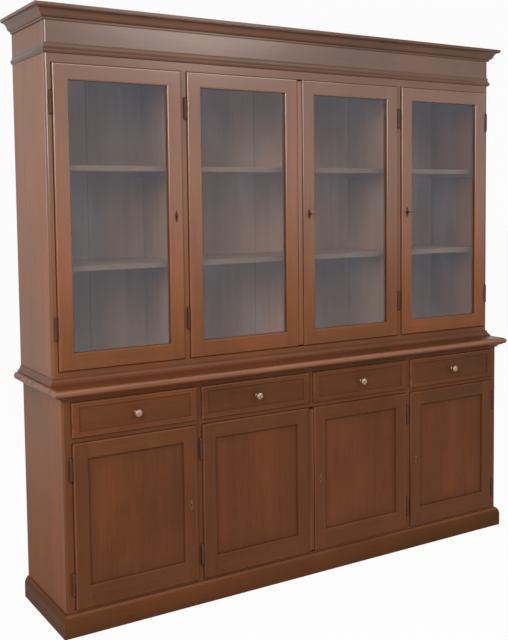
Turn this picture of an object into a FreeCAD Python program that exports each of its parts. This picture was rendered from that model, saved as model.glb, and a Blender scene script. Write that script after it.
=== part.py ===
import FreeCAD
import Part
import math
import os
from types import SimpleNamespace
from FreeCAD import Vector

# Dresser with a glazed hutch: a four-bay base with drawers over panelled doors, a moulded counter
# top, and a hutch with framed glass doors under a frieze and cornice.
# Millimetres, +Z up, the front faces -Y, the origin is under the middle of the footprint.

# Overall sizes
overall_height = 2250.0
hutch_width = 2134.0
hutch_depth = 370.0
base_inset = 7.0
base_depth = 440.0
counter_height = 901.0

# Counter top: a bull-nosed board over a cove moulding
counter_board = 28.0
counter_overhang = 36.0
counter_cove_height = 16.0
counter_cove_out = 22.0
counter_cove_foot = 3.0
counter_cove_lip = 3.0
counter_cove_hollow = 4.0

# Plinth boards round the foot, with an ovolo along the top
plinth_height = 82.0
plinth_out = 16.0
plinth_ovolo = 28.0
plinth_ovolo_top = 4.0
plinth_ovolo_round = 3.0

# Cornice, frieze and their mouldings
cornice_height = 52.0
cornice_out = 42.0
cornice_seat = 18.0
cornice_fillet_height = 7.0
cornice_fillet_out = 5.0
cornice_belly = 3.0
cornice_belly_out = 19.0
cornice_hollow = 3.0
cornice_hollow_out = 34.0
cornice_bed = 3.0
cornice_bed_out = 38.0
cornice_lip = 11.0
frieze_height = 115.0
bead_height = 37.0
bead_out = 7.0
bead_round = 10.0
bead_flat = 4.0
bead_top = 1.0
bead_belly = 2.0
bead_hollow = 3.0
foot_moulding_height = 26.0
foot_moulding_out = 14.0
foot_moulding_fillet = 6.0
foot_moulding_top = 2.0
foot_moulding_hollow = 3.0

# Face frames of both cases
frame_thickness = 20.0
hutch_corner_stile = 21.0
base_corner_stile = 31.0
mid_stile = 20.0
corner_round = 10.0
frame_tenon_length = 8.0
frame_tenon_thickness = 8.0
frame_tenon_shoulder = 3.0
hutch_bottom_rail = 48.0
hutch_top_rail = 31.0
base_bottom_rail = 51.0
bottom_rail_reveal = 10.0
top_rail_reveal = 7.0
drawer_opening = 130.0
drawer_rail = 17.0

# Case boards
side_thickness = 20.0
partition_thickness = 18.0
floor_thickness = 18.0
deck_thickness = 16.0
back_thickness = 6.0
stop_lip = 8.0
stop_gap = 0.4

# Shelves on cleats
shelf_thickness = 19.0
shelf_play = 1.0
shelf_setback = 22.0
cleat = 15.0
hutch_shelf_count = 2
base_shelf_count = 1

# Doors: tenoned frames with a glass pane above and a wood panel below; like the drawers they stand
# a little proud of the face frames
front_proud = 9.0
door_gap = 3.0
head_gap = 2.0
door_edge_round = 5.0
door_inner_round = 6.0
door_tenon_length = 28.0
door_tenon_thickness = 8.0
door_tenon_shoulder = 12.0
upper_stile = 58.0
upper_top_rail = 58.0
upper_bottom_rail = 64.0
lower_stile = 57.0
lower_top_rail = 60.0
lower_bottom_rail = 82.0
glass_thickness = 4.0
glass_setback = 11.0
glass_rebate = 8.0
glass_play = 0.5
panel_thickness = 8.0
panel_setback = 11.0
panel_groove = 9.0
panel_play = 1.0

# Meeting strip on the inner leaf of each pair
strip_setback = 0.6
strip_short = 6.0
strip_round = 3.0

# Lift-off hinges with a pointed tip, two to a door
barrel_diameter = 11.0
barrel_length = 76.0
barrel_tip = 6.0
barrel_tip_diameter = 4.0
barrel_proud = 0.3
neck_thickness = 3.0
knuckle_gap = 0.4
hinge_pin_diameter = 6.0
hinge_pin_length = 30.0
hinge_pin_play = 0.05
leaf_depth = 18.0
leaf_play = 0.2
leaf_relief = 0.5
upper_hinge_from_top = 138.0
upper_hinge_from_bottom = 155.0
lower_hinge_from_end = 95.0

# Mortise locks, keys and keyhole plates
lock_width = 42.0
lock_height = 60.0
lock_thickness = 12.0
lock_setback = 11.0
lock_wall = 2.0
chamber_radius = 10.5
lock_bolt_length = 16.0
lock_bolt_height = 16.0
lock_bolt_thickness = 7.0
lock_bolt_inset = 0.5
lock_bolt_play = 0.3
lock_throw = 8.0
strike_depth = 9.0
strike_play = 1.0
keyhole_radius = 3.2
keyhole_slot = 3.2
keyhole_drop = 10.0
plate_width = 12.0
plate_height = 46.0
plate_thickness = 1.2
key_shaft_radius = 2.6
key_reach = 18.0
key_end_gap = 0.3
key_bow_radius = 12.0
key_bow_hole = 7.5
key_bow_thickness = 3.2
key_bow_sink = 1.0
key_collar_radius = 4.2
key_collar_length = 3.0
key_collar_out = 8.0
key_bit_length = 9.0
key_bit_thickness = 2.4
key_bit_width = 6.0

# Slide bolts behind the inner leaf of each pair
slide_plate_width = 14.0
slide_plate_thickness = 2.0
slide_rod_radius = 3.0
slide_rod_length = 70.0
slide_rod_rise = 6.0
slide_rod_gap = 1.0
slide_travel = 10.0
slide_guide_height = 8.0
slide_guide_wall = 2.0
slide_guide_inset = 11.0
slide_play = 0.3
slide_hole_play = 1.5
slide_hole_spare = 2.0
slide_grip_radius = 2.2
slide_grip_length = 7.0

# Drawers: recessed fronts, dovetailed boxes, turned knobs
drawer_gap = 1.5
front_border = 20.0
front_border_end = 28.0
front_recess = 5.0
front_inner_round = 3.0
front_edge_round = 5.0
drawer_side_height = 108.0
drawer_side_thickness = 12.0
drawer_back_drop = 8.0
drawer_bottom_thickness = 5.0
drawer_bottom_height = 9.0
drawer_bottom_groove = 6.0
drawer_rear_gap = 15.0
tail_count = 3
tail_length = 14.0
tail_neck = 16.0
tail_end = 22.0
runner_width = 18.0
runner_gap = 0.3
guide_height = 20.0
guide_gap = 0.3
kicker_gap = 1.5
knob_foot_radius = 9.0
knob_foot_height = 3.0
knob_waist_height = 14.0
knob_waist_hollow = 4.3
knob_head_radius = 12.5
knob_head_height = 9.0
knob_head_round = 2.0
knob_crown_height = 4.0
knob_spigot_radius = 4.0
knob_spigot_length = 12.0
knob_spigot_play = 0.1

# Places worked out from the sizes above
base_width = hutch_width - 2 * base_inset
back = (base_depth + counter_overhang) / 2
base_face = back - base_depth
hutch_face = back - hutch_depth
board_bottom = counter_height - counter_board
cove_bottom = board_bottom - counter_cove_height
cornice_bottom = overall_height - cornice_height
frieze_bottom = cornice_bottom - frieze_height
hutch_opening_top = frieze_bottom - hutch_top_rail
hutch_opening_bottom = counter_height + hutch_bottom_rail
drawer_opening_top = cove_bottom - top_rail_reveal
drawer_opening_bottom = drawer_opening_top - drawer_opening
base_opening_top = drawer_opening_bottom - drawer_rail
base_opening_bottom = plinth_height + bottom_rail_reveal
hutch_floor_top = hutch_opening_bottom + stop_lip
hutch_ceiling = hutch_opening_top - head_gap - stop_lip
base_floor_top = base_opening_bottom + stop_lip
deck_bottom = base_opening_top - head_gap - stop_lip
deck_top = deck_bottom + deck_thickness
board_front_setback = frame_thickness + stop_gap
door_thickness = frame_thickness + front_proud
bay_count = 4


def bays(width, corner_stile):
    """Left and right edges of the four equal openings in a face frame."""
    opening = (width - 2 * corner_stile - (bay_count - 1) * mid_stile) / bay_count
    lefts = [-width / 2 + corner_stile + i * (opening + mid_stile) for i in range(bay_count)]
    return [(left, left + opening) for left in lefts]


def block(x, y, z):
    """A board between the given limits, each a pair in either order."""
    low = Vector(min(x), min(y), min(z))
    high = Vector(max(x), max(y), max(z))
    size = high - low
    return Part.makeBox(size.x, size.y, size.z, low)


def single(shape):
    """The one solid that a cut or fuse leaves, with its flush faces merged."""
    return shape.removeSplitter().Solids[0]


def joined(member, mate, tongue):
    """A member with a tongue on it, and its mate with the socket for that tongue."""
    return single(member.fuse(tongue)), single(mate.cut(tongue))


def on_face(edge, y):
    """Whether an edge lies in the plane of the given y."""
    return all(abs(v.Y - y) < 1e-6 for v in edge.Vertexes)


def rounded_front(board, y, radius, wanted):
    """The board with the chosen edges of its front face rounded."""
    chosen = [e for e in board.Edges if on_face(e, y) and wanted(e.CenterOfMass)]
    return board.makeFillet(radius, chosen)


def rounded_posts(board, y, places, radius):
    """The board with its upright front edges at the given x rounded."""
    def upright(edge):
        at = edge.CenterOfMass
        level = abs(edge.Vertexes[0].Z - edge.Vertexes[-1].Z) < 1e-6
        return not level and on_face(edge, y) and any(abs(at.x - x) < 1e-6 for x in places)
    return board.makeFillet(radius, [e for e in board.Edges if upright(e)])


def outline(start, steps, place):
    """A flat face from straight steps (a, b) and arcs (a, b, rise of the arc to its left)."""
    edges = []
    here = start
    closing = [] if steps[-1][:2] == start else [start]
    for step in steps + closing:
        a, b = step[0], step[1]
        if len(step) == 3:
            chord = math.hypot(a - here[0], b - here[1])
            across = ((here[1] - b) / chord, (a - here[0]) / chord)
            middle = ((here[0] + a) / 2 + across[0] * step[2], (here[1] + b) / 2 + across[1] * step[2])
            edges.append(Part.Arc(place(*here), place(*middle), place(a, b)).toShape())
        else:
            edges.append(Part.LineSegment(place(*here), place(a, b)).toShape())
        here = (a, b)
    return Part.Face(Part.Wire(edges))


def plan(points, low, high):
    """An upright prism over the given plan points."""
    corners = [Vector(x, y, low) for x, y in points]
    return Part.Face(Part.makePolygon(corners + corners[:1])).extrude(Vector(0, 0, high - low))


def mitred(start, steps, half, face, reach, low, high):
    """Three lengths of moulding round the front and both sides, mitred at the front corners."""
    section = outline(start, steps, lambda out, z: Vector(-half - reach, face - out, z))
    run = section.extrude(Vector(2 * (half + reach), 0, 0))
    zone = plan([(-half - reach, face - reach), (half + reach, face - reach),
                 (half - reach, face + reach), (reach - half, face + reach)], low, high)
    pieces = [single(run.common(zone))]
    for hand in (-1, 1):
        section = outline(start, steps, lambda out, z: Vector(hand * (half + out), face - reach, z))
        run = section.extrude(Vector(0, back - face + reach, 0))
        zone = plan([(hand * (half + reach), face - reach), (hand * (half - reach), face + reach),
                     (hand * (half - reach), back), (hand * (half + reach), back)], low, high)
        pieces.append(single(run.common(zone)))
    return pieces


def save(node, solids):
    """One file for a node, as separate solids."""
    Part.Compound(solids).exportStep("parts/" + node + ".step")


os.makedirs("parts", exist_ok=True)
hutch_bays = bays(hutch_width, hutch_corner_stile)
base_bays = bays(base_width, base_corner_stile)
cut_over = 1.0


# Doors. Leaves 1 and 2 hang on their left edge, 3 and 4 on their right; 2 and 3 meet as a pair.
# Leaf 2 is the inner leaf: it carries the meeting strip and slide bolts, the others a lock.
def leaf(row, number, bay, frame, low, high, stile, top_rail, bottom_rail, hinges, keyed):
    hand = 1 if number in (1, 2) else -1
    left, right = bay[0] + door_gap, bay[1] - door_gap
    free, hung, inward = (right, left, -1) if hand > 0 else (left, right, 1)
    return SimpleNamespace(name=row + "_door_" + str(number), left=left, right=right, frame=frame,
                           face=frame - front_proud, low=low + head_gap, high=high - head_gap, stile=stile,
                           top_rail=top_rail, bottom_rail=bottom_rail, hand=hand, free=free, hung=hung,
                           inward=inward, hinges=hinges, keyed=keyed, inner_leaf=number == 2,
                           lock_x=free + inward * stile / 2, lock_z=(low + high) / 2)


upper_leaves = [leaf("upper", n + 1, hutch_bays[n], hutch_face, hutch_opening_bottom, hutch_opening_top,
                     upper_stile, upper_top_rail, upper_bottom_rail,
                     (hutch_opening_top - head_gap - upper_hinge_from_top,
                      hutch_opening_bottom + head_gap + upper_hinge_from_bottom), n in (2, 3))
                for n in range(bay_count)]
lower_leaves = [leaf("lower", n + 1, base_bays[n], base_face, base_opening_bottom, base_opening_top,
                     lower_stile, lower_top_rail, lower_bottom_rail,
                     (base_opening_top - head_gap - lower_hinge_from_end,
                      base_opening_bottom + head_gap + lower_hinge_from_end), False)
                for n in range(bay_count)]
leaves = upper_leaves + lower_leaves


def across_leaf(door, start, end):
    """Two x places, measured from a leaf's free edge into the leaf."""
    return (door.free + door.inward * start, door.free + door.inward * end)


def lock_middle(door):
    return door.face + lock_setback + lock_thickness / 2


def keyhole(door, y):
    """The round and the slot that a key passes through."""
    mouth = Vector(door.lock_x, min(y), door.lock_z)
    bore = Part.makeCylinder(keyhole_radius, max(y) - min(y), mouth, Vector(0, 1, 0))
    slot = block((door.lock_x - keyhole_slot / 2, door.lock_x + keyhole_slot / 2), y,
                 (door.lock_z - keyhole_drop, door.lock_z))
    return bore.fuse(slot)


def lock_bolt(door):
    middle = lock_middle(door)
    return block(across_leaf(door, lock_bolt_inset, lock_bolt_inset + lock_bolt_length),
                 (middle - lock_bolt_thickness / 2, middle + lock_bolt_thickness / 2),
                 (door.lock_z - lock_bolt_height / 2, door.lock_z + lock_bolt_height / 2))


def lock_body(door):
    """The lock's case fills its mortise from the leaf's edge inwards."""
    return block(across_leaf(door, 0, lock_width),
                 (door.face + lock_setback, door.face + lock_setback + lock_thickness),
                 (door.lock_z - lock_height / 2, door.lock_z + lock_height / 2))


def lock_case(door):
    """The case with a round chamber for the key's bit and a channel for the bolt."""
    front = door.face + lock_setback
    middle = lock_middle(door)
    chamber = Part.makeCylinder(chamber_radius, lock_thickness - 2 * lock_wall,
                                Vector(door.lock_x, front + lock_wall, door.lock_z), Vector(0, 1, 0))
    half_thickness = lock_bolt_thickness / 2 + lock_bolt_play
    half_height = lock_bolt_height / 2 + lock_bolt_play
    channel = block(across_leaf(door, -cut_over, door.stile / 2),
                    (middle - half_thickness, middle + half_thickness),
                    (door.lock_z - half_height, door.lock_z + half_height))
    hollow = chamber.fuse(channel).fuse(keyhole(door, (front - cut_over, front + lock_wall)))
    return single(lock_body(door).cut(hollow))


def strike(door):
    """The pocket opposite the lock that the bolt is thrown into."""
    edge = door.free - door.inward * door_gap
    middle = lock_middle(door)
    half_thickness = (lock_bolt_thickness + strike_play) / 2
    half_height = (lock_bolt_height + strike_play) / 2
    return block((edge, edge - door.inward * strike_depth),
                 (middle - half_thickness, middle + half_thickness),
                 (door.lock_z - half_height, door.lock_z + half_height))


def keyhole_plate(door):
    """A thin pointed plate on the leaf's face, round the keyhole."""
    flat = outline((0, -plate_height / 2), [(0, plate_height / 2, -plate_width / 2),
                                            (0, -plate_height / 2, -plate_width / 2)],
                   lambda a, b: Vector(door.lock_x + a, door.face, door.lock_z + b))
    plate = flat.extrude(Vector(0, -plate_thickness, 0))
    return single(plate.cut(keyhole(door, (door.face - plate_thickness, door.face))))


def key(door):
    """A key with a ring bow; at rest its bow lies level and its bit points into the leaf."""
    chamber = door.face + lock_setback + lock_wall
    end = door.face + lock_setback + lock_thickness - lock_wall - key_end_gap
    tip = door.face - key_reach
    out = Vector(0, 1, 0)
    shaft = Part.makeCylinder(key_shaft_radius, end - tip, Vector(door.lock_x, tip, door.lock_z), out)
    collar = Part.makeCylinder(key_collar_radius, key_collar_length,
                               Vector(door.lock_x, door.face - key_collar_out, door.lock_z), out)
    bow_y = tip - key_bow_radius + key_bow_sink
    seat = Vector(door.lock_x, bow_y, door.lock_z - key_bow_thickness / 2)
    bow = Part.makeCylinder(key_bow_radius, key_bow_thickness, seat)
    bow = bow.cut(Part.makeCylinder(key_bow_hole, key_bow_thickness, seat))
    spare = (lock_thickness - 2 * lock_wall - key_bit_width) / 2
    bit = block((door.lock_x, door.lock_x + door.inward * key_bit_length),
                (chamber + spare, chamber + spare + key_bit_width),
                (door.lock_z - key_bit_thickness / 2, door.lock_z + key_bit_thickness / 2))
    return single(shaft.fuse([collar, bow, bit]))


def knuckle(x, y, root, tip_way, bore_radius):
    """Half of a hinge barrel: from its root at the joint to its pointed tip, with a bore or none."""
    radius = barrel_diameter / 2
    shoulder = root + tip_way * (barrel_length - knuckle_gap) / 2
    body = Part.makeCylinder(radius, abs(shoulder - root), Vector(x, y, min(root, shoulder)))
    cone = Part.makeCone(radius, barrel_tip_diameter / 2, barrel_tip,
                         Vector(x, y, shoulder), Vector(0, 0, tip_way))
    half = body.fuse(cone)
    if bore_radius:
        depth = hinge_pin_length + knuckle_gap
        half = half.cut(Part.makeCylinder(bore_radius, depth, Vector(x, y, root), Vector(0, 0, tip_way)))
    return half


def hinge(door, z):
    """The case half, with the pin, and the door half of one hinge."""
    leaf_thickness = (door_gap - leaf_play) / 2
    stile_edge = door.hung - door.hand * door_gap
    axis_x = stile_edge - door.hand * barrel_diameter / 2
    axis_y = door.frame - barrel_diameter / 2 - barrel_proud
    clear_of_pin = hinge_pin_diameter / 2 + 2 * hinge_pin_play
    halves = []
    for owner, tip_way, flat, side in (("case", -1, stile_edge, 1), ("door", 1, door.hung, -1)):
        root = z + tip_way * knuckle_gap / 2
        half = knuckle(axis_x, axis_y, root, tip_way,
                       hinge_pin_diameter / 2 + hinge_pin_play if owner == "door" else 0)
        wing = (flat, flat + side * door.hand * leaf_thickness)
        own_height = (root, root + tip_way * (barrel_length - knuckle_gap) / 2)
        neck_front = axis_y - neck_thickness / 2
        far = max(wing) if door.hand > 0 else min(wing)
        neck = block((axis_x + door.hand * clear_of_pin, far),
                     (neck_front, neck_front + neck_thickness), own_height)
        bend = block(wing, (neck_front, door.frame + leaf_relief), own_height)
        plate = block(wing, (door.frame + leaf_relief, door.frame + leaf_depth),
                      (z - barrel_length / 2, z + barrel_length / 2))
        half = half.fuse([neck, bend, plate])
        if owner == "case":
            half = half.fuse(Part.makeCylinder(hinge_pin_diameter / 2, hinge_pin_length,
                                               Vector(axis_x, axis_y, root)))
        halves.append(single(half))
    return halves


def frame_blank(door, hollow):
    """The four members of a leaf in one piece, rounded at the front, with the pane's seat cut out."""
    low, high = door.low + door.bottom_rail, door.high - door.top_rail
    left, right = door.left + door.stile, door.right - door.stile
    through = (door.face - cut_over, door.face + door_thickness + cut_over)
    blank = block((door.left, door.right), (door.face, door.face + door_thickness), (door.low, door.high))
    blank = blank.cut(block((left, right), through, (low, high)))

    def inside(at):
        return left - cut_over < at.x < right + cut_over and low - cut_over < at.z < high + cut_over
    blank = rounded_front(blank, door.face, door_edge_round, lambda at: not inside(at))
    blank = rounded_front(blank, door.face, door_inner_round, inside)
    return blank.cut(hollow)


def frame_members(door, hollow):
    """Two stiles and two rails, the rails tenoned into the stiles."""
    blank = frame_blank(door, hollow)
    deep = (door.face - cut_over, door.face + door_thickness + cut_over)
    tall = (door.low - cut_over, door.high + cut_over)
    inner = (door.left + door.stile, door.right - door.stile)
    stiles = [single(blank.common(block((door.left - cut_over, inner[0]), deep, tall))),
              single(blank.common(block((inner[1], door.right + cut_over), deep, tall)))]
    rails = []
    tongue_y = door.face + (door_thickness - door_tenon_thickness) / 2
    for low, high in ((door.low, door.low + door.bottom_rail), (door.high - door.top_rail, door.high)):
        rail = single(blank.common(block(inner, deep, (low - cut_over, high + cut_over))))
        for i, way in ((0, -1), (1, 1)):
            tongue = block((inner[i], inner[i] + way * door_tenon_length),
                           (tongue_y, tongue_y + door_tenon_thickness),
                           (low + door_tenon_shoulder, high - door_tenon_shoulder))
            rail, stiles[i] = joined(rail, stiles[i], tongue)
        rails.append(rail)
    return stiles + rails


def pane_seat(door, margin, y):
    """The room of a pane that runs past the frame's opening by a margin."""
    return block((door.left + door.stile - margin, door.right - door.stile + margin), y,
                 (door.low + door.bottom_rail - margin, door.high - door.top_rail + margin))


def glazing_beads(door):
    """Four mitred strips that hold the glass in its rebate from behind."""
    y = (door.face + glass_setback + glass_thickness, door.face + door_thickness)
    outer = pane_seat(door, glass_rebate, y).BoundBox
    strips = []
    for along_x, near in ((True, True), (True, False), (False, True), (False, False)):
        low, high = (outer.XMin, outer.XMax) if along_x else (outer.ZMin, outer.ZMax)
        edge = (outer.ZMin if near else outer.ZMax) if along_x else (outer.XMin if near else outer.XMax)
        inner = edge + (glass_rebate if near else -glass_rebate)
        corners = [(low, edge), (high, edge), (high - glass_rebate, inner), (low + glass_rebate, inner)]
        points = [Vector(a, y[0], b) if along_x else Vector(b, y[0], a) for a, b in corners]
        strips.append(Part.Face(Part.makePolygon(points + points[:1])).extrude(Vector(0, y[1] - y[0], 0)))
    return strips


def meeting_strip(door, outer_leaf):
    """A strip on the inner leaf's edge that fills the joint between a pair."""
    near, far = door.free, outer_leaf.free - door_gap
    front = door.face + strip_setback
    strip = block((near, far), (front, door.face + door_thickness),
                  (door.low + strip_short, door.high - strip_short))
    strip = rounded_posts(strip, front, (far,), strip_round)
    return single(strip.cut(strike(outer_leaf)))


def slide_bolt(door, end, way):
    """A slide bolt's fixed plate with its two guides, and its rod with a grip."""
    x = door.lock_x
    y = door.face + door_thickness
    rod_y = y + slide_plate_thickness + slide_rod_rise
    tip = end - way * slide_rod_gap
    root = tip - way * slide_rod_length
    half_width = slide_plate_width / 2
    plate = block((x - half_width, x + half_width), (y, y + slide_plate_thickness),
                  (tip - way * slide_guide_inset, root))
    guide_out = rod_y + slide_rod_radius + slide_guide_wall
    low_end = Vector(x, rod_y, min(tip, root))
    hole = Part.makeCylinder(slide_rod_radius + slide_play, slide_rod_length, low_end)
    for start in (slide_guide_inset, slide_rod_length - slide_guide_inset - slide_guide_height):
        guide = block((x - half_width, x + half_width), (y, guide_out),
                      (tip - way * start, tip - way * (start + slide_guide_height)))
        plate = plate.fuse(guide)
    rod = Part.makeCylinder(slide_rod_radius, slide_rod_length, low_end)
    grip = Part.makeCylinder(slide_grip_radius, slide_rod_radius + slide_grip_length,
                             Vector(x, rod_y, (tip + root) / 2), Vector(0, 1, 0))
    return single(plate.cut(hole)), single(rod.fuse(grip))


def slide_hole(door, end, way):
    """The hole in the board above or below that a slide bolt runs into."""
    rod_y = door.face + door_thickness + slide_plate_thickness + slide_rod_rise
    depth = slide_travel - slide_rod_gap + slide_hole_spare
    return Part.makeCylinder(slide_rod_radius + slide_hole_play, depth,
                             Vector(door.lock_x, rod_y, end), Vector(0, 0, way))


case_hinges = []
slide_ends = {"upper_door_2": ((hutch_ceiling, 1), (hutch_floor_top, -1)),
              "lower_door_2": ((deck_bottom, 1), (base_floor_top, -1))}
for row in (upper_leaves, lower_leaves):
    for door in row:
        glazed = row is upper_leaves
        if glazed:
            seat = pane_seat(door, glass_rebate, (door.face + glass_setback, door.face + door_thickness))
        else:
            seat = pane_seat(door, panel_groove,
                             (door.face + panel_setback, door.face + panel_setback + panel_thickness))
        members = frame_members(door, seat)
        hardware = []
        for z in door.hinges:
            case_half, door_half = hinge(door, z)
            case_hinges.append(case_half)
            hardware.append(door_half)
        if door.inner_leaf:
            members.append(meeting_strip(door, row[2]))
            for (end, way), place in zip(slide_ends[door.name], ("top", "bottom")):
                plate, rod = slide_bolt(door, end, way)
                hardware.append(plate)
                save(door.name + "_" + place + "_bolt", [rod])
        else:
            locked = 1 if door.hand > 0 else 0
            mortise = lock_body(door).fuse(keyhole(door, (door.face, door.face + lock_setback)))
            members[locked] = single(members[locked].cut(mortise))
            hardware += [lock_case(door), keyhole_plate(door)]
            if door.keyed:
                save(door.name + "_lock_bolt", [lock_bolt(door)])
                save(door.name + "_key", [key(door)])
            else:
                hardware.append(lock_bolt(door))
        if glazed:
            glass_y = (door.face + glass_setback, door.face + glass_setback + glass_thickness)
            save(door.name + "_frame", members + glazing_beads(door))
            save(door.name + "_glass", [pane_seat(door, glass_rebate - glass_play, glass_y)])
        else:
            panel_y = (door.face + panel_setback, door.face + panel_setback + panel_thickness)
            save(door.name + "_leaf", members + [pane_seat(door, panel_groove - panel_play, panel_y)])
        save(door.name + "_hardware", hardware)
save("case_hinges", case_hinges)


# Face frames: rails tenoned between the stiles, with pockets for the lock bolts.
def frame_tongue(x, face, z):
    y = face + (frame_thickness - frame_tenon_thickness) / 2
    return block(x, (y, y + frame_tenon_thickness), z)


def tenoned_rail(rail, x, z, left, right, face):
    """A rail with a tenon at each end, and the two stiles that take them."""
    z = (z[0] + frame_tenon_shoulder, z[1] - frame_tenon_shoulder)
    rail, left = joined(rail, left, frame_tongue((x[0] - frame_tenon_length, x[0]), face, z))
    rail, right = joined(rail, right, frame_tongue((x[1], x[1] + frame_tenon_length), face, z))
    return rail, left, right


def tenoned_post(post, x, z, below, above, face):
    """A post with a tenon at each end, and the two rails that take them."""
    x = (x[0] + frame_tenon_shoulder, x[1] - frame_tenon_shoulder)
    post, below = joined(post, below, frame_tongue(x, face, (z[0] - frame_tenon_length, z[0])))
    post, above = joined(post, above, frame_tongue(x, face, (z[1], z[1] + frame_tenon_length)))
    return post, below, above


def corner_posts(half, stile, face, z):
    """The two outer stiles, rounded at the case's corners."""
    posts = []
    for edge, way in ((-half, 1), (half, -1)):
        post = block((edge, edge + way * stile), (face, face + frame_thickness), z)
        posts.append(rounded_posts(post, face, (edge,), corner_round))
    return posts


def mid_gaps(openings):
    """The x limits of the stiles between the four openings."""
    return [(openings[i][1], openings[i + 1][0]) for i in range(bay_count - 1)]


hutch_half = hutch_width / 2
base_half = base_width / 2
hutch_y = (hutch_face, hutch_face + frame_thickness)
base_y = (base_face, base_face + frame_thickness)

left_post, right_post = corner_posts(hutch_half, hutch_corner_stile, hutch_face,
                                     (counter_height, frieze_bottom))
inner_x = (hutch_bays[0][0], hutch_bays[-1][1])
bottom_z = (counter_height, hutch_opening_bottom)
top_z = (hutch_opening_top, frieze_bottom)
bottom_rail, left_post, right_post = tenoned_rail(block(inner_x, hutch_y, bottom_z), inner_x, bottom_z,
                                                  left_post, right_post, hutch_face)
top_rail, left_post, right_post = tenoned_rail(block(inner_x, hutch_y, top_z), inner_x, top_z,
                                               left_post, right_post, hutch_face)
mid_posts = []
for i, door in ((0, upper_leaves[0]), (2, upper_leaves[3])):
    x = mid_gaps(hutch_bays)[i]
    z = (hutch_opening_bottom, hutch_opening_top)
    post = single(block(x, hutch_y, z).cut(strike(door)))
    post, bottom_rail, top_rail = tenoned_post(post, x, z, bottom_rail, top_rail, hutch_face)
    mid_posts.append(post)
save("hutch_face_frame", [left_post, right_post, bottom_rail, top_rail] + mid_posts)

left_post, right_post = corner_posts(base_half, base_corner_stile, base_face, (0, board_bottom))
inner_x = (base_bays[0][0], base_bays[-1][1])
bottom_z = (base_opening_bottom - base_bottom_rail, base_opening_bottom)
top_z = (drawer_opening_top, board_bottom)
rail_z = (base_opening_top, drawer_opening_bottom)
bottom_rail, left_post, right_post = tenoned_rail(block(inner_x, base_y, bottom_z), inner_x, bottom_z,
                                                  left_post, right_post, base_face)
top_rail, left_post, right_post = tenoned_rail(block(inner_x, base_y, top_z), inner_x, top_z,
                                               left_post, right_post, base_face)
mid_posts = []
for i, door in ((0, lower_leaves[0]), (2, lower_leaves[3])):
    x = mid_gaps(base_bays)[i]
    z = (base_opening_bottom, drawer_opening_top)
    post = single(block(x, base_y, z).cut(strike(door)))
    post, bottom_rail, top_rail = tenoned_post(post, x, z, bottom_rail, top_rail, base_face)
    mid_posts.append(post)
posts = [left_post] + mid_posts + [right_post]
drawer_rails = []
for i, (first, last) in enumerate(((0, 0), (1, 2), (3, 3))):
    x = (base_bays[first][0], base_bays[last][1])
    rail, posts[i], posts[i + 1] = tenoned_rail(block(x, base_y, rail_z), x, rail_z,
                                                posts[i], posts[i + 1], base_face)
    drawer_rails.append(rail)
centre_x = mid_gaps(base_bays)[1]
centre_z = (drawer_opening_bottom, drawer_opening_top)
centre_post, drawer_rails[1], top_rail = tenoned_post(block(centre_x, base_y, centre_z), centre_x, centre_z,
                                                      drawer_rails[1], top_rail, base_face)
save("base_face_frame", posts + [centre_post, bottom_rail, top_rail] + drawer_rails)


# Case boards: sides, partitions, floors, decks and backs behind the face frames.
def side_boards(half, face, z):
    return [block((way * half, way * (half - side_thickness)), (face + frame_thickness, back), z)
            for way in (-1, 1)]


def behind_posts(openings, thickness):
    """The x limits of partitions centred behind the stiles between the openings."""
    middles = [(a + b) / 2 for a, b in mid_gaps(openings)]
    return [(middle - thickness / 2, middle + thickness / 2) for middle in middles]


board_back = back - back_thickness
hutch_depth_y = (hutch_face + board_front_setback, board_back)
base_depth_y = (base_face + board_front_setback, board_back)
hutch_inner = (side_thickness - hutch_half, hutch_half - side_thickness)
base_inner = (side_thickness - base_half, base_half - side_thickness)
hutch_walls = behind_posts(hutch_bays, partition_thickness)
base_walls = behind_posts(base_bays, partition_thickness)

save("hutch_sides", side_boards(hutch_half, hutch_face, (counter_height, cornice_bottom)))
save("base_sides", side_boards(base_half, base_face, (0, board_bottom)))
save("hutch_back", [block(hutch_inner, (board_back, back), (counter_height, cornice_bottom))])
save("base_back", [block(base_inner, (board_back, back),
                         (base_opening_bottom - base_bottom_rail, board_bottom))])

hutch_floor = block(hutch_inner, hutch_depth_y, (hutch_floor_top - floor_thickness, hutch_floor_top))
ceiling = block(hutch_inner, hutch_depth_y, (hutch_ceiling, hutch_ceiling + floor_thickness))
dust_top = block(hutch_inner, (hutch_face + frame_thickness, board_back),
                 (cornice_bottom - floor_thickness, cornice_bottom))
hutch_floor = single(hutch_floor.cut(slide_hole(upper_leaves[1], hutch_floor_top, -1)))
ceiling = single(ceiling.cut(slide_hole(upper_leaves[1], hutch_ceiling, 1)))
save("hutch_floor_and_tops", [hutch_floor, ceiling, dust_top])
save("hutch_partitions", [block(hutch_walls[i], hutch_depth_y, (hutch_floor_top, hutch_ceiling))
                          for i in (0, 2)])

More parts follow.
